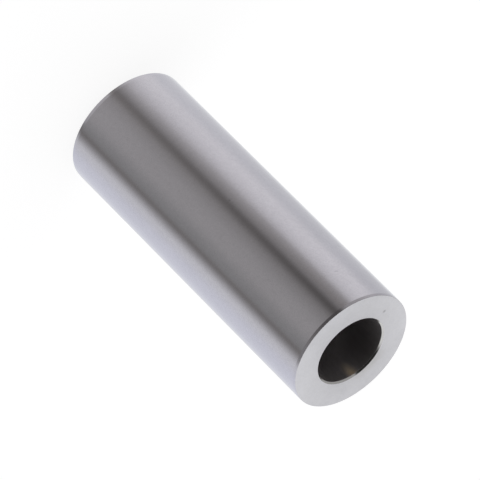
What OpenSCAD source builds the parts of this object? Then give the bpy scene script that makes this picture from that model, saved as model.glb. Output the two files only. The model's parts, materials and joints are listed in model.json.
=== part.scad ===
// Hollow piston pin: one steel tube, turned and bored from bar and ground on the outside.
// It stands on one end face, with its axis along Z and its foot at the origin.

/* [Pin] */
// Outside diameter, which runs in the piston's bosses and the rod's eye
pin_d = 20; // [18:0.5:24]
// Length from end face to end face
pin_l = 54.8; // [40:0.1:70]

/* [Bore] */
// Diameter of the bore that runs through the pin
bore_d = 11.4; // [8:0.1:14]
// Leg of the 45 degree chamfer at each mouth of the bore
bore_chamfer = 0.25; // [0.1:0.05:0.5]

/* [Outer edges] */
// Length along the axis of the lead-in taper at each end of the outside
lead_l = 0.5; // [0.2:0.1:1]
// Angle between the lead-in taper and the axis, in degrees
lead_angle = 4; // [2:1:30]

/* [Hidden] */
$fn = 128;
pin_r = pin_d / 2;
bore_r = bore_d / 2;
bore_mouth_r = bore_r + bore_chamfer;
end_face_r = pin_r - lead_l * tan(lead_angle);

// Section through the wall on one side of the axis, with the axis along Y
module wall_section() {
    lower_end = [[bore_r, bore_chamfer], [bore_mouth_r, 0], [end_face_r, 0], [pin_r, lead_l]];
    upper_end = [for (i = [len(lower_end) - 1 : -1 : 0]) [lower_end[i][0], pin_l - lower_end[i][1]]];
    polygon(concat(lower_end, upper_end));
}

module piston_pin() {
    color([0.66, 0.66, 0.68])
        rotate_extrude()
            wall_section();
}

piston_pin();
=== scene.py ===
"""Dresses a hollow piston pin in a plain white studio.

The pin is one steel tube: ground outside, fine ground on its two end faces and bored right through.
It stands on its lower end. The camera looks down on it and is rolled, so the pin lies aslant in the
picture, with its upper end nearest. Lengths are in metres and angles in degrees, unless a name or a
docstring says otherwise.
"""

import json
import logging
import math
from dataclasses import dataclass
from enum import Enum
from typing import Any, Union

import bmesh
import bpy
from mathutils import Matrix, Vector

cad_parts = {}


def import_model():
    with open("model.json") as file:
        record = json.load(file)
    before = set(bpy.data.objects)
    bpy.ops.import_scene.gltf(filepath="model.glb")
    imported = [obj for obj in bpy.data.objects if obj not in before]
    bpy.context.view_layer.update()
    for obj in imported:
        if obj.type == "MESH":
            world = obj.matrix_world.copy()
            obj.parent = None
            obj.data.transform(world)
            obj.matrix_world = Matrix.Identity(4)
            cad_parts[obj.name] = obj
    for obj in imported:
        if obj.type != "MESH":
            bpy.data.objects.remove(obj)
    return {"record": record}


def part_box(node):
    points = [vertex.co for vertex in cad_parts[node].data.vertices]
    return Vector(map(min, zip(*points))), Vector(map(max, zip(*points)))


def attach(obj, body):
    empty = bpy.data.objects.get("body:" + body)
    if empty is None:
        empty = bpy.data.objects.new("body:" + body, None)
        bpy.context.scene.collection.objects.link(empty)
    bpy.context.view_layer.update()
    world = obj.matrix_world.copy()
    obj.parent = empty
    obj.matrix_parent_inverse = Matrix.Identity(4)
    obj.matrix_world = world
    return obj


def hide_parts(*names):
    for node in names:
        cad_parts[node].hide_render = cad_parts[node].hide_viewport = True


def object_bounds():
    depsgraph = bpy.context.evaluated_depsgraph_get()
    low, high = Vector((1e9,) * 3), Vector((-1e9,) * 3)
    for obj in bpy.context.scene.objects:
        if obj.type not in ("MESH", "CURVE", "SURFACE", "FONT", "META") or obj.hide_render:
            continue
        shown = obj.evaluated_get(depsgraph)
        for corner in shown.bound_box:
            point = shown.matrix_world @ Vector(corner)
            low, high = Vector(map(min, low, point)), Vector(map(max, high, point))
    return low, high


frame: dict[str, Any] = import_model()
cad_box: tuple[Vector, Vector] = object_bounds()

PIN_NODE = "piston_pin"
PIN_BODY = "root"

MM = 0.001
MM_PER_METRE = 1000.0
MICROMETRE = 0.000001
MEAN_NOISE = 0.5
QUARTER_TURN = 0.25

Triple = tuple[float, float, float]
Colour = Triple
Edge = tuple[float, float]
Number = Union[float, "Wire"]
Feed = Union[float, tuple[float, ...], "Wire", bpy.types.NodeSocket]
Settings = dict[str, Any]
Sockets = dict[Union[str, int], Feed]

BLACK: Colour = (0.0, 0.0, 0.0)
WHITE: Colour = (1.0, 1.0, 1.0)
LEVEL: Triple = (1.0, 1.0, 0.0)

log = logging.getLogger("piston_pin")


class MixSocket(int, Enum):
    """Where a Mix node keeps its sockets for colours."""

    FACTOR = 0
    FIRST = 6
    SECOND = 7
    RESULT = 2


class Surface(int, Enum):
    """The pin's surfaces, each with the place of its finish among the material slots."""

    SIDE = 0
    LEAD_IN = 1
    END_FACE = 2
    MOUTH = 3
    BORE = 4


class Pattern(Enum):
    """How the grain of a texture lies."""

    CLOUDS = "noise in all three directions"
    RINGS = "rings round the axis, by radius"
    LINES = "lines round the axis, by height"


class Ray(str, Enum):
    """Kinds of ray, by their output on the Light Path node."""

    CAMERA = "Is Camera Ray"
    GLOSSY = "Is Glossy Ray"
    TRANSMISSION = "Is Transmission Ray"


def even(value: float) -> Triple:
    """The same number three times, for a grey or for all three axes."""
    return (value, value, value)


def opaque(colour: Colour) -> tuple[float, float, float, float]:
    """A colour with full alpha, as the sockets take it."""
    return (*colour, 1.0)


class Wire:
    """A number on its way from one node to the next. Python's operators add the Math nodes."""

    def __init__(self, sheet: "NodeSheet", socket: bpy.types.NodeSocket) -> None:
        """Keeps the sheet that the number is on and the socket that it comes from."""
        self.sheet = sheet
        self.socket = socket

    def __add__(self, other: Number) -> "Wire":
        """self + other."""
        return self.sheet.math("ADD", self, other)

    def __radd__(self, other: Number) -> "Wire":
        """other + self."""
        return self.sheet.math("ADD", other, self)

    def __sub__(self, other: Number) -> "Wire":
        """self - other."""
        return self.sheet.math("SUBTRACT", self, other)

    def __rsub__(self, other: Number) -> "Wire":
        """other - self."""
        return self.sheet.math("SUBTRACT", other, self)

    def __mul__(self, other: Number) -> "Wire":
        """self * other."""
        return self.sheet.math("MULTIPLY", self, other)

    def __rmul__(self, other: Number) -> "Wire":
        """other * self."""
        return self.sheet.math("MULTIPLY", other, self)

    def fade(self, start: float, end: float) -> "Wire":
        """Runs from 0 at start to 1 at end on an S-curve, and stays there. Start may be above end."""
        sockets: Sockets = {"Value": self, "From Min": start, "From Max": end}
        return self.sheet.number("ShaderNodeMapRange", {"interpolation_type": "SMOOTHSTEP"}, sockets)


class NodeSheet:
    """A node tree that is filled through one method."""

    def __init__(self, tree: bpy.types.NodeTree) -> None:
        """Takes over a tree and empties it."""
        self.tree = tree
        tree.nodes.clear()

    def add(self, kind: str, settings: Settings, sockets: Sockets) -> bpy.types.Node:
        """Adds any node.

        Args:
            kind: The node's type.
            settings: Its properties, which are set first because they can change its sockets.
            sockets: Values or links for its inputs, by name or by place.

        Returns:
            The new node.
        """
        node = self.tree.nodes.new(kind)
        for name, value in settings.items():
            setattr(node, name, value)
        for key, value in sockets.items():
            source = value.socket if isinstance(value, Wire) else value
            if isinstance(source, bpy.types.NodeSocket):
                self.tree.links.new(source, node.inputs[key])
            else:
                node.inputs[key].default_value = source
        return node

    def number(
        self, kind: str, settings: Settings, sockets: Sockets, output: Union[str, int] = 0
    ) -> Wire:
        """Adds a node, as add does, and wraps one of its outputs as a number to calculate with."""
        return Wire(self, self.add(kind, settings, sockets).outputs[output])

    def math(self, operation: str, *operands: Number) -> Wire:
        """Adds a Math node with the operands in its sockets, in order, and returns its result."""
        return self.number("ShaderNodeMath", {"operation": operation}, dict(enumerate(operands)))

    def vector(self, operation: str, *operands: Feed) -> bpy.types.NodeSocket:
        """Adds a Vector Math node with the operands in its sockets, in order, and returns its vector."""
        node = self.add("ShaderNodeVectorMath", {"operation": operation}, dict(enumerate(operands)))
        return node.outputs[0]

    def length(self, vector: bpy.types.NodeSocket) -> Wire:
        """The length of a vector."""
        return self.number("ShaderNodeVectorMath", {"operation": "LENGTH"}, {0: vector}, "Value")

    def mix(self, factor: Number, first: Feed, second: Feed, label: str = "") -> bpy.types.NodeSocket:
        """Mixes two colours.

        Args:
            factor: 0 for the first colour, 1 for the second.
            first: A colour with alpha, or a socket.
            second: A colour with alpha, or a socket.
            label: What the node editor shows on the node.

        Returns:
            The mixed colour's socket.
        """
        sockets: Sockets = {
            MixSocket.FACTOR: factor,
            MixSocket.FIRST: first,
            MixSocket.SECOND: second,
        }
        node = self.add("ShaderNodeMix", {"data_type": "RGBA", "label": label}, sockets)
        return node.outputs[MixSocket.RESULT]

    def rays(self, *kinds: Ray) -> Wire:
        """Tells some kinds of ray from the rest.

        Args:
            kinds: The kinds to look for.

        Returns:
            1 for a ray of one of these kinds, and 0 for any other ray.
        """
        path = self.add("ShaderNodeLightPath", {}, {})
        found, *others = (Wire(self, path.outputs[kind.value]) for kind in kinds)
        for other in others:
            found = self.math("MAXIMUM", found, other)
        return found

    def finish(self, kind: str, shader: bpy.types.Node) -> None:
        """Ends the tree: joins a shader to a new output node of the given type."""
        self.add(kind, {}, {"Surface": shader.outputs[0]})


@dataclass
class Place:
    """Where a point of the pin is, in millimetres, for the textures and marks on it.

    Attributes:
        sheet: The material's nodes.
        point: The socket with the point's coordinates.
    """

    sheet: NodeSheet
    point: bpy.types.NodeSocket

    @classmethod
    def on(cls, sheet: NodeSheet) -> "Place":
        """Reads the pin's own coordinates into a material's nodes."""
        metres = sheet.add("ShaderNodeTexCoord", {}, {}).outputs["Object"]
        return cls(sheet, sheet.vector("MULTIPLY", metres, even(MM_PER_METRE)))

    @property
    def height(self) -> Wire:
        """Height above the pin's foot."""
        return self.sheet.number("ShaderNodeSeparateXYZ", {}, {0: self.point}, "Z")

    @property
    def radius(self) -> Wire:
        """Distance from the pin's axis."""
        return self.sheet.length(self.sheet.vector("MULTIPLY", self.point, LEVEL))

    def clouds(self, per_mm: Triple, octaves: float) -> Wire:
        """Noise that is stretched along the axes.

        Args:
            per_mm: How many features there are per millimetre along X, Y and Z.
            octaves: The noise's detail.

        Returns:
            A number from 0 to 1.
        """
        stretched = self.sheet.vector("MULTIPLY", self.point, per_mm)
        sockets: Sockets = {"Vector": stretched, "Scale": 1.0, "Detail": octaves}
        return self.sheet.number("ShaderNodeTexNoise", {}, sockets)

    def bands(self, across: Wire, octaves: float) -> Wire:
        """Noise along one number only, such as the radius, for the lines that a tool leaves."""
        sockets: Sockets = {"W": across, "Scale": 1.0, "Detail": octaves}
        return self.sheet.number("ShaderNodeTexNoise", {"noise_dimensions": "1D"}, sockets)

    def spot(self, centre: Triple, half_size: Triple, core: float) -> Wire:
        """A soft oval spot: 1 in its core, which is a share of its half widths, and 0 outside it."""
        offset = self.sheet.vector("SUBTRACT", self.point, centre)
        return self.sheet.length(self.sheet.vector("DIVIDE", offset, half_size)).fade(1.0, core)


@dataclass(frozen=True)
class Texture:
    """One layer of texture: a pattern, and what it does to a surface where it is strongest.

    Attributes:
        pattern: How its grain lies.
        per_mm: Features per millimetre along X, Y and Z. Rings take the first, and lines the last.
        octaves: The noise's detail.
        dulling: The share of the colour that it takes away.
        roughness: How much it varies the roughness.
        height_um: How far it stands out, in micrometres.
    """

    pattern: Pattern
    per_mm: Triple
    octaves: float
    dulling: float = 0.0
    roughness: float = 0.0
    height_um: float = 0.0

    def on(self, place: Place) -> Wire:
        """Adds the pattern's nodes.

        Args:
            place: Where on the pin it is read.

        Returns:
            The pattern's strength, from 0 to 1.
        """
        outwards, _, along = self.per_mm
        if self.pattern is Pattern.RINGS:
            return place.bands(place.radius * outwards, self.octaves)
        if self.pattern is Pattern.LINES:
            return place.bands(place.height * along, self.octaves)
        return place.clouds(self.per_mm, self.octaves)


@dataclass(frozen=True)
class Mark:
    """A small soft-edged mark, such as a nick, dirt, painted shade or painted light. Its lengths are in
    millimetres.

    Attributes:
        centre: Its middle.
        half_size: Its half widths along X, Y and Z.
        strength: How far it covers the colour below it.
        colour: Its own colour.
        core: The share of its half width that is at full strength.
        roughness: How much rougher it is than the surface.
        depth_um: How deep it is, in micrometres.
    """

    centre: Triple
    half_size: Triple
    strength: float
    colour: Colour = BLACK
    core: float = 0.2
    roughness: float = 0.0
    depth_um: float = 0.0

    def on(self, place: Place) -> Wire:
        """Adds the mark's nodes: 1 in its core, and 0 outside it."""
        return place.spot(self.centre, self.half_size, self.core)


@dataclass(frozen=True)
class Finish:
    """A machined steel surface.

    Attributes:
        name: The material's name.
        colour: The steel's colour, under its textures and marks.
        roughness: Its mean roughness.
        textures: The layers over the whole surface.
        marks: The single marks on it.
        anisotropy: How far the tool's lines draw out a reflection.
    """

    name: str
    colour: Colour
    roughness: float
    textures: tuple[Texture, ...]
    marks: tuple[Mark, ...] = ()
    anisotropy: float = 0.0

    def material(self) -> bpy.types.Material:
        """Builds the finish.

        Returns:
            The new material.
        """
        material = bpy.data.materials.new(self.name)
        material.use_nodes = True
        sheet = NodeSheet(material.node_tree)
        place = Place.on(sheet)
        colour: Feed = opaque(self.colour)
        roughness: Number = self.roughness
        height_um: Number = 0.0
        for texture in self.textures:
            amount = texture.on(place)
            colour = sheet.mix(texture.dulling * amount, colour, opaque(BLACK))
            roughness = roughness + texture.roughness * (amount - MEAN_NOISE)
            height_um = height_um + texture.height_um * amount
        for mark in self.marks:
            amount = mark.on(place)
            colour = sheet.mix(mark.strength * amount, colour, opaque(mark.colour))
            roughness = roughness + mark.roughness * amount
            height_um = height_um - mark.depth_um * amount
        bump = sheet.add("ShaderNodeBump", {}, {"Distance": MICROMETRE, "Height": height_um})
        sockets: Sockets = {
            "Metallic": 1.0,
            "Anisotropic": self.anisotropy,
            "Anisotropic Rotation": QUARTER_TURN,
            "Base Color": colour,
            "Roughness": roughness,
            "Normal": bump.outputs[0],
        }
        shader = sheet.add("ShaderNodeBsdfPrincipled", {}, sockets)
        sheet.finish("ShaderNodeOutputMaterial", shader)
        return material


GROUND_STEEL: Colour = (0.631, 0.61, 0.659)
FACED_STEEL: Colour = (0.697, 0.695, 0.725)
TURNED_STEEL: Colour = (0.6, 0.595, 0.59)
REAMED_STEEL: Colour = (0.53, 0.508, 0.515)

# Grinding lines round the outside, coarse and fine, then haze, blotches and specks
GROUND = (
    Texture(Pattern.CLOUDS, (0.12, 0.12, 5.0), octaves=3.0, roughness=0.04, height_um=0.5),
    Texture(Pattern.CLOUDS, (0.5, 0.5, 24.0), octaves=1.0, height_um=0.08),
    Texture(Pattern.CLOUDS, (0.22, 0.22, 0.1), octaves=2.0, dulling=0.06, roughness=0.04),
    Texture(Pattern.CLOUDS, even(1.4), octaves=4.0, dulling=0.1, roughness=0.03),
    Texture(Pattern.CLOUDS, even(4.5), octaves=2.0, dulling=0.14),
)

# Rings and fine grain from the facing of the ends, then haze, blotches and specks
FACED = (
    Texture(Pattern.RINGS, (7.0, 0.0, 0.0), octaves=2.0, roughness=0.04, height_um=0.8),
    Texture(Pattern.CLOUDS, even(6.0), octaves=3.0, dulling=0.03, roughness=0.08, height_um=2.0),
    Texture(Pattern.CLOUDS, even(0.35), octaves=2.0, dulling=0.05, roughness=0.08),
    Texture(Pattern.CLOUDS, even(1.6), octaves=4.0, dulling=0.08, roughness=0.05),
    Texture(Pattern.CLOUDS, even(4.5), octaves=2.0, dulling=0.1),
)

# The reamer's lines round the bore, then streaks along it
REAMED = (
    Texture(Pattern.LINES, (0.0, 0.0, 4.0), octaves=3.0, roughness=0.06, height_um=1.5),
    Texture(
        Pattern.CLOUDS, (1.6, 1.6, 0.08), octaves=2.0, dulling=0.2, roughness=0.08, height_um=0.8
    ),
)


@dataclass(frozen=True)
class Corner:
    """A corner of the wall's section.

    Attributes:
        radius: Its distance from the pin's axis.
        height: Its height above the pin's foot.
        surface: The surface that runs from it to the next corner.
    """

    radius: float
    height: float
    surface: Surface

    @property
    def point(self) -> Vector:
        """Its place in the section."""
        return Vector((self.radius, self.height))


@dataclass
class PistonPin:
    """The pin: a tube with lead-in tapers at the ends of its outside and chamfers at its bore's mouths.

    Attributes:
        outer_r: Radius of the ground outside.
        length: Length from end face to end face.
        bore_r: Radius of the bore.
        bore_chamfer: Leg of the chamfer at each mouth of the bore.
        lead_l: Length along the axis of each lead-in taper.
        lead_angle: Angle between a lead-in taper and the axis.
        edge_round: How far a round reaches from its edge.
        edge_hold: Width of the band that holds a surface flat beside a round.
        edge_segments: How many faces there are across a round.
        turn_steps: How many faces there are round the pin.
        tolerance: How far apart two points may be and still count as one.
    """

    outer_r: float
    length: float
    bore_r: float
    bore_chamfer: float
    lead_l: float
    lead_angle: float = 4.0
    edge_round: float = 0.025 * MM
    edge_hold: float = 0.01 * MM
    edge_segments: int = 3
    turn_steps: int = 288
    tolerance: float = 0.001 * MM

    @classmethod
    def from_record(cls, record: dict[str, Any]) -> "PistonPin":
        """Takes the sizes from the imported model.

        Args:
            record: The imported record, whose mounts give the outside and the bore.

        Returns:
            A pin of those sizes.
        """
        low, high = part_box(PIN_NODE)
        length = high.z - low.z
        dims = {mount["name"]: mount["dims"] for mount in record["mounts"]}
        outside, bore = dims["bearing_surface"], dims["bore"]
        return cls(
            outer_r=outside["r_mm"] * MM,
            length=length,
            bore_r=bore["r_mm"] * MM,
            bore_chamfer=(length - bore["length_mm"] * MM) / 2,
            lead_l=(length - outside["length_mm"] * MM) / 2,
        )

    @property
    def face_r(self) -> float:
        """Outer radius of an end face, inside the lead-in taper."""
        return self.outer_r - self.lead_l * math.tan(math.radians(self.lead_angle))

    @property
    def mouth_r(self) -> float:
        """Radius of the bore's mouth in an end face."""
        return self.bore_r + self.bore_chamfer

    def corners(self) -> list[Corner]:
        """The corners of the wall's section, once round.

        Returns:
            The corners, from the lower mouth outwards, up and back in.
        """
        top = self.length
        return [
            Corner(self.bore_r, self.bore_chamfer, Surface.MOUTH),
            Corner(self.mouth_r, 0.0, Surface.END_FACE),
            Corner(self.face_r, 0.0, Surface.LEAD_IN),
            Corner(self.outer_r, self.lead_l, Surface.SIDE),
            Corner(self.outer_r, top - self.lead_l, Surface.LEAD_IN),
            Corner(self.face_r, top, Surface.END_FACE),
            Corner(self.mouth_r, top, Surface.MOUTH),
            Corner(self.bore_r, top - self.bore_chamfer, Surface.BORE),
        ]

    def turn(self) -> bmesh.types.BMesh:
        """Turns the wall's section round the axis.

        Returns:
            A closed tube with sharp edges, each face marked with its surface.
        """
        tube = bmesh.new()
        points = [tube.verts.new((corner.radius, 0.0, corner.height)) for corner in self.corners()]
        lines = [tube.edges.new(pair) for pair in zip(points, points[1:] + points[:1])]
        bmesh.ops.spin(
            tube,
            geom=points + lines,
            axis=(0.0, 0.0, 1.0),
            cent=(0.0, 0.0, 0.0),
            angle=math.tau,
            steps=self.turn_steps,
            use_merge=True,
        )
        bmesh.ops.remove_doubles(tube, verts=tube.verts, dist=self.tolerance)
        bmesh.ops.recalc_face_normals(tube, faces=tube.faces)
        for face in tube.faces:
            face.material_index = self.surface_at(face.calc_center_median()).value
            face.smooth = True
        return tube

    def surface_at(self, point: Vector) -> Surface:
        """The surface whose middle line is nearest to a point.

        Args:
            point: The middle of a face.

        Returns:
            The surface that the face belongs to.
        """
        corners = self.corners()
        here = Vector((point.xy.length, point.z))

        def off_middle(stretch: tuple[Corner, Corner]) -> float:
            """Distance from the middle of the stretch between two corners."""
            start, end = stretch
            return (here - (start.point + end.point) / 2).length

        nearest, _ = min(zip(corners, corners[1:] + corners[:1]), key=off_middle)
        return nearest.surface

    def ease_edges(self, tube: bmesh.types.BMesh) -> None:
        """Rounds the eight edges a little and holds each surface flat up to its rounds.

        Args:
            tube: The turned tube, which is changed.
        """
        rings = [
            edge
            for edge in tube.edges
            if abs(edge.verts[0].co.z - edge.verts[1].co.z) < self.tolerance
            and abs(edge.verts[0].co.xy.length - edge.verts[1].co.xy.length) < self.tolerance
        ]
        rounds = bmesh.ops.bevel(
            tube,
            geom=rings,
            offset=self.edge_round,
            offset_type="OFFSET",
            affect="EDGES",
            segments=self.edge_segments,
            profile=0.5,
            material=-1,
        )["faces"]
        for face in rounds:
            face.smooth = True
        flats = set(tube.faces) - set(rounds)
        for surface in Surface:
            faces = [face for face in flats if face.material_index == surface.value]
            bmesh.ops.inset_region(tube, faces=faces, thickness=self.edge_hold, use_even_offset=True)

    def point_on(self, radius: float, turn: float, below_top: float) -> Triple:
        """A point of the pin, in millimetres.

        Args:
            radius: Its distance from the axis, in metres.
            turn: Its angle round the axis, from the camera's side towards +X.
            below_top: How far it is below the upper end face, in millimetres.

        Returns:
            The point's coordinates.
        """
        angle = math.radians(turn)
        across, top = radius * MM_PER_METRE, self.length * MM_PER_METRE
        return (across * math.sin(angle), -across * math.cos(angle), top - below_top)

    def scuff(self, turn: float, below_top: float, half_size: Triple, strength: float) -> Mark:
        """A faint dark mark on the outside, placed as point_on says."""
        return Mark(self.point_on(self.outer_r, turn, below_top), half_size, strength)

    def side_finish(self) -> Finish:
        """The ground outside, with a few scuffs.

        Returns:
            The finish.
        """
        scuffs = (
            self.scuff(turn=-41.0, below_top=6.6, half_size=(0.45, 0.45, 0.25), strength=0.12),
            self.scuff(turn=-71.0, below_top=12.0, half_size=(0.6, 0.9, 0.5), strength=0.06),
            self.scuff(turn=-17.5, below_top=26.7, half_size=even(0.25), strength=0.15),
        )
        return Finish("ground_side", GROUND_STEEL, roughness=0.1, textures=GROUND, marks=scuffs)

    def lead_in_finish(self) -> Finish:
        """The lead-in tapers, ground like the outside and a little rougher."""
        return Finish("ground_lead_in", GROUND_STEEL, roughness=0.12, textures=GROUND)

    def face_finish(self) -> Finish:
        """The fine ground end faces. The upper one has a nick and painted shade beside the bore's mouth,
        and is painted a little darker towards the bore.

        Returns:
            The finish.
        """
        nick_r = 7.51 * MM
        nick = Mark(
            self.point_on(nick_r, turn=-80.0, below_top=0.0),
            half_size=(0.42, 0.36, 0.3),
            strength=0.35,
            depth_um=5.0,
        )
        # Painted shade: a warm darkening of the upper face beside the far side of the bore's mouth
        painted_mouth_shade = Mark(
            self.point_on(self.mouth_r, turn=186.0, below_top=0.0),
            half_size=(4.0, 1.8, 1.0),
            strength=0.18,
            colour=(0.3, 0.28, 0.2),
        )
        # The upper face is painted a little darker towards the bore, fading out before its rim
        inward_darkening = Mark(
            self.point_on(0.0, turn=0.0, below_top=0.0),
            half_size=(9.4, 9.4, 1.0),
            strength=0.07,
            core=0.62,
        )
        return Finish(
            "fine_ground_face",
            FACED_STEEL,
            roughness=0.36,
            textures=FACED,
            marks=(nick, painted_mouth_shade, inward_darkening),
            anisotropy=0.7,
        )

    def mouth_finish(self) -> Finish:
        """The turned chamfers at the bore's mouths."""
        return Finish("turned_mouth", TURNED_STEEL, roughness=0.15, textures=REAMED)

    def bore_finish(self) -> Finish:
        """The reamed bore, with painted shade and a warm painted reflection below its upper mouth.

        Returns:
            The finish.
        """
        # Painted shade: darkens the bore wall a few millimetres below the upper mouth, on its far side
        painted_bore_shade = Mark(
            self.point_on(self.bore_r, turn=196.0, below_top=3.0),
            half_size=(4.2, 4.2, 5.0),
            strength=0.36,
        )
        # Painted reflection: a warm glow of floor light bounced into the bore, just below the upper
        # mouth
        painted_reflection = Mark(
            self.point_on(self.bore_r, turn=158.0, below_top=0.2),
            half_size=(1.25, 1.25, 3.5),
            strength=0.78,
            colour=(1.0, 0.84, 0.62),
            core=0.0,
            roughness=0.25,
        )
        marks = (painted_bore_shade, painted_reflection)
        return Finish("reamed_bore", REAMED_STEEL, roughness=0.5, textures=REAMED, marks=marks)

    def finishes(self) -> dict[Surface, Finish]:
        """The pin's finishes.

        Returns:
            The finish of each surface.
        """
        return {
            Surface.SIDE: self.side_finish(),
            Surface.LEAD_IN: self.lead_in_finish(),
            Surface.END_FACE: self.face_finish(),
            Surface.MOUTH: self.mouth_finish(),
            Surface.BORE: self.bore_finish(),
        }

    def build(self) -> bpy.types.Object:
        """Makes the pin, dresses it and puts it in the place of the CAD node.

        Returns:
            The pin's object.
        """
        tube = self.turn()
        self.ease_edges(tube)
        mesh = bpy.data.meshes.new("pin_body")
        tube.to_mesh(mesh)
        tube.free()
        finishes = self.finishes()
        for surface in Surface:
            mesh.materials.append(finishes[surface].material())
        pin = bpy.data.objects.new("pin_body", mesh)
        bpy.context.scene.collection.objects.link(pin)
        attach(pin, PIN_BODY)
        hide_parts(PIN_NODE)
        return pin


# Edges that panels share: the two azimuths or elevations between which a panel fades in or out
NO_START: Edge = (-190.0, -185.0)
NO_END: Edge = (185.0, 190.0)
NO_BOTTOM: Edge = (-100.0, -95.0)
HORIZON: Edge = (-20.0, 5.0)
SHEET_EDGE: Edge = (-29.5, -24.5)
OPENING_TOP: Edge = (68.0, 80.0)
CORE_SPLIT: Edge = (-37.0, -29.5)
NEAR_HALF: Edge = (-36.0, -30.0)


@dataclass(frozen=True)
class Panel:
    """A soft-edged part of the light tent, by its direction from the pin.

    Azimuth 0 is the camera's side and grows towards +X. In the camera's view, the pin's side mirrors
    what is below the horizon: its upper end mirrors the higher part, and its foot the lower.

    Attributes:
        name: What the panel is.
        colour: Its colour, as a light.
        start: Azimuths between which it fades in.
        end: Azimuths between which it fades out.
        bottom: Elevations between which it fades in.
        top: Elevations between which it fades out.
        strength: How far it covers what hangs behind it.
    """

    name: str
    colour: Colour
    start: Edge = NO_START
    end: Edge = NO_END
    bottom: Edge = NO_BOTTOM
    top: Edge = HORIZON
    strength: float = 1.0

    def mask(self, azimuth: Wire, elevation: Wire) -> Wire:
        """How much of the panel is seen in a direction.

        Args:
            azimuth: The direction's azimuth.
            elevation: The direction's height above the horizon.

        Returns:
            The panel's strength inside it, and 0 outside it.
        """
        across = azimuth.fade(*self.start) * (1.0 - azimuth.fade(*self.end))
        upwards = elevation.fade(*self.bottom) * (1.0 - elevation.fade(*self.top))
        return self.strength * across * upwards


# The tent's walls, from +X round the back to -X
WALLS = (
    Panel("side wall", (0.845, 0.862, 0.865), start=(30.0, 50.0)),
    Panel("cool wall", (0.905, 0.934, 1.0), start=(84.0, 118.0)),
    Panel("back wall", (0.84, 0.845, 0.86), start=(145.0, 178.0)),
    Panel("dull wall", (0.865, 0.88, 0.9), end=(-122.0, -88.0)),
    Panel(
        "half shade",
        (0.51, 0.505, 0.5),
        start=(-175.0, -145.0),
        end=(-70.0, -40.0),
        bottom=SHEET_EDGE,
        top=(50.0, 70.0),
    ),
)

# The opening on the camera's side, which darkens a band along the pin, its near edge and its bore
OPENING = (
    Panel("opening", (0.245, 0.236, 0.224), start=(-82.0, -22.0), end=(62.0, 91.0), top=(70.0, 85.0)),
    Panel("low glow", (0.325, 0.311, 0.29), start=(-37.0, -20.0), end=(-20.0, 10.0), top=CORE_SPLIT),
    Panel("core", (0.08, 0.0755, 0.0695), start=(-43.0, -26.0), end=(-26.0, -9.0), bottom=CORE_SPLIT),
    Panel(
        "dark opening",
        (0.13, 0.125, 0.12),
        start=(-45.0, -20.0),
        end=(-5.0, 50.0),
        bottom=SHEET_EDGE,
        top=OPENING_TOP,
    ),
    Panel(
        "black opening",
        (0.03, 0.03, 0.028),
        start=(-50.0, -42.0),
        end=(60.0, 83.0),
        bottom=(15.0, 35.0),
        top=OPENING_TOP,
    ),
    Panel("side glow", even(0.3), start=(20.0, 65.0), end=(60.0, 94.0), bottom=SHEET_EDGE),
)

# Grey sheets under the opening, which give the middle tone beside the dark band
SHEETS = (
    Panel("grey sheet", (0.44, 0.434, 0.421), start=(-34.0, 8.0), end=(53.0, 66.0), top=SHEET_EDGE),
    Panel("foot sheet", (0.61, 0.605, 0.6), start=(-26.0, -12.0), end=(44.0, 58.0), top=(-40.0, -33.5)),
    Panel(
        "sheet shade",
        (0.0, 0.03, 0.03),
        start=(24.0, 56.0),
        end=(54.0, 66.0),
        top=SHEET_EDGE,
        strength=0.24,
    ),
)

# Thin shades, which darken the pin a little towards its upper end and beside the dark band
SHADES = (
    Panel(
        "near shade",
        BLACK,
        start=(-168.0, -146.0),
        end=(-112.0, -88.0),
        bottom=NEAR_HALF,
        strength=0.16,
    ),
    Panel("pale shade", BLACK, start=(-108.0, -72.0), end=(-64.0, -55.0), strength=0.09),
    Panel("core fall", BLACK, start=(-66.0, -54.0), end=(-8.0, 22.0), bottom=NEAR_HALF, strength=0.16),
    Panel(
        "edge shade",
        (0.06, 0.03, 0.0),
        start=(-63.0, -52.0),
        end=(-44.0, -34.0),
        bottom=(-36.0, -29.5),
        top=SHEET_EDGE,
        strength=0.4,
    ),
)


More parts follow.
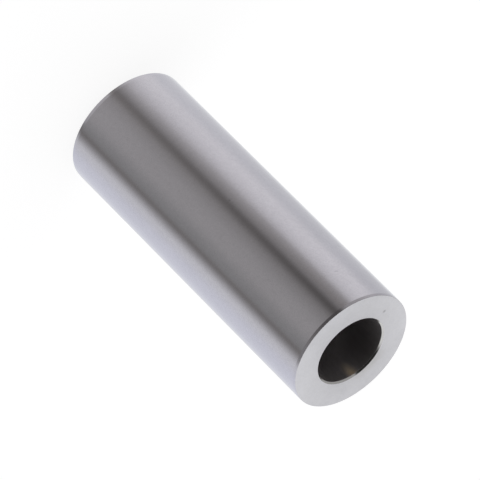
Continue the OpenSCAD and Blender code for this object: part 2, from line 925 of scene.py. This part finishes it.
@dataclass
class Studio:
    """A white floor in a light tent. The camera sees plain white, and the pin mirrors the panels too.

    Attributes:
        panels: What hangs in the tent. Each panel hangs in front of those before it.
        cloth: The tent's colour, as a light.
        floor_size: Length of the floor's sides.
        floor_albedo: The share of the light that the floor throws back.
        floor_fill: What is added to the floor where it shows, so that it shows as white.
        grain_per_m: How many grains the floor has per metre.
        grain_octaves: The grain's detail.
        grain_tone: Tone of the grain's dull spots, as a share of the floor's.
    """

    panels: tuple[Panel, ...] = WALLS + OPENING + SHEETS + SHADES
    cloth: Colour = (0.95, 0.95, 0.97)
    floor_size: float = 3.0
    floor_albedo: float = 0.28
    floor_fill: float = 0.86
    grain_per_m: float = 400.0
    grain_octaves: float = 2.0
    grain_tone: float = 0.98

    def light_tent(self) -> None:
        """Builds the tent as the world: white, with panels that only the camera doesn't see."""
        world = bpy.data.worlds.new("light_tent")
        bpy.context.scene.world = world
        world.use_nodes = True
        sheet = NodeSheet(world.node_tree)
        direction = sheet.add("ShaderNodeTexCoord", {}, {}).outputs["Generated"]
        parts = sheet.add("ShaderNodeSeparateXYZ", {}, {0: direction}).outputs
        x, y, z = (Wire(sheet, part) for part in parts)
        azimuth = sheet.math("DEGREES", sheet.math("ARCTAN2", x, -1.0 * y))
        elevation = sheet.math("DEGREES", sheet.math("ARCSINE", z))
        shown = sheet.rays(Ray.CAMERA, Ray.GLOSSY, Ray.TRANSMISSION)
        light = sheet.mix(shown, opaque(self.cloth), opaque(WHITE), "background")
        for panel in self.panels:
            light = sheet.mix(panel.mask(azimuth, elevation), light, opaque(panel.colour), panel.name)
        light = sheet.mix(sheet.rays(Ray.CAMERA), light, opaque(WHITE), "camera's white")
        sheet.finish("ShaderNodeOutputWorld", sheet.add("ShaderNodeBackground", {}, {"Color": light}))

    def floor_material(self) -> bpy.types.Material:
        """Builds the floor's finish, which shows as white apart from the pin's shadow.

        Returns:
            The new material.
        """
        material = bpy.data.materials.new("white_floor")
        material.use_nodes = True
        sheet = NodeSheet(material.node_tree)
        place = sheet.add("ShaderNodeTexCoord", {}, {}).outputs["Object"]
        sockets: Sockets = {"Vector": place, "Scale": self.grain_per_m, "Detail": self.grain_octaves}
        grain = sheet.number("ShaderNodeTexNoise", {}, sockets)
        pale, duller = even(self.floor_albedo), even(self.floor_albedo * self.grain_tone)
        tone = sheet.mix(grain, opaque(pale), opaque(duller))
        matt: Sockets = {"Base Color": tone, "Roughness": 1.0, "Specular IOR Level": 0.0}
        cloth = sheet.add("ShaderNodeBsdfPrincipled", {}, matt)
        fill = sheet.add("ShaderNodeEmission", {}, {"Strength": self.floor_fill})
        lifted = sheet.add("ShaderNodeAddShader", {}, {0: cloth.outputs[0], 1: fill.outputs[0]})
        shown = sheet.rays(Ray.CAMERA, Ray.GLOSSY, Ray.TRANSMISSION)
        layers: Sockets = {0: shown, 1: cloth.outputs[0], 2: lifted.outputs[0]}
        sheet.finish("ShaderNodeOutputMaterial", sheet.add("ShaderNodeMixShader", {}, layers))
        return material

    def lay_floor(self) -> bpy.types.Object:
        """Lays the floor under the pin.

        Returns:
            The floor's object, which reflections look through to the tent.
        """
        grid = bmesh.new()
        bmesh.ops.create_grid(grid, x_segments=1, y_segments=1, size=self.floor_size / 2)
        mesh = bpy.data.meshes.new("floor")
        grid.to_mesh(mesh)
        grid.free()
        mesh.materials.append(self.floor_material())
        floor = bpy.data.objects.new("floor", mesh)
        bpy.context.scene.collection.objects.link(floor)
        floor.visible_glossy = False
        floor.visible_shadow = False
        return floor


@dataclass
class PhotoCamera:
    """The camera: a long lens that looks down on the pin, rolled so that the pin lies aslant.

    Attributes:
        elevation: How far the camera looks down.
        roll: How far it is turned about its line of sight.
        distance: From the lens to the plane through the middle of the pin.
        lens_mm: Focal length.
        sensor_mm: Width of the sensor.
        picture_px: Width of the picture.
        pin_off_centre_px: How far the pin's middle is right of and above the picture's middle.
    """

    elevation: float = 32.98
    roll: float = 135.0
    distance: float = 0.848
    lens_mm: float = 436.95
    sensor_mm: float = 36.0
    picture_px: float = 480.0
    pin_off_centre_px: tuple[float, float] = (-2.55, 2.37)

    def place(self, middle: Vector) -> bpy.types.Object:
        """Makes the camera and points it.

        Args:
            middle: The middle of the pin.

        Returns:
            The camera's object.
        """
        tilt = math.radians(self.elevation)
        back = Vector((0.0, -math.cos(tilt), math.sin(tilt)))
        level = (-back).to_track_quat("-Z", "Y").to_matrix()
        turn = level @ Matrix.Rotation(math.radians(self.roll), 3, "Z")
        metres_per_px = self.distance * self.sensor_mm / self.lens_mm / self.picture_px
        across, up = (offset * metres_per_px for offset in self.pin_off_centre_px)
        place = middle - turn @ Vector((across, up, -self.distance))
        lens = bpy.data.cameras.new("photo_camera")
        lens.lens = self.lens_mm
        lens.sensor_width = self.sensor_mm
        camera = bpy.data.objects.new("photo_camera", lens)
        camera.matrix_world = Matrix.Translation(place) @ turn.to_4x4()
        bpy.context.scene.collection.objects.link(camera)
        bpy.context.scene.camera = camera
        return camera


def main() -> None:
    """Builds the pin, the studio and the camera, and reports each piece."""
    logging.basicConfig(level=logging.INFO, format="%(name)s: %(message)s")
    bpy.context.scene.view_settings.view_transform = "Standard"
    pin = PistonPin.from_record(frame["record"]).build()
    log.info("%s has %d faces", pin.name, len(pin.data.polygons))
    studio = Studio()
    studio.light_tent()
    log.info("the light tent has %d panels", len(studio.panels))
    floor = studio.lay_floor()
    log.info("%s is laid", floor.name)
    low, high = cad_box
    camera = PhotoCamera().place((low + high) / 2)
    log.info("%s stands %.3f m from the origin", camera.name, camera.location.length)


if __name__ == "__main__":
    main()
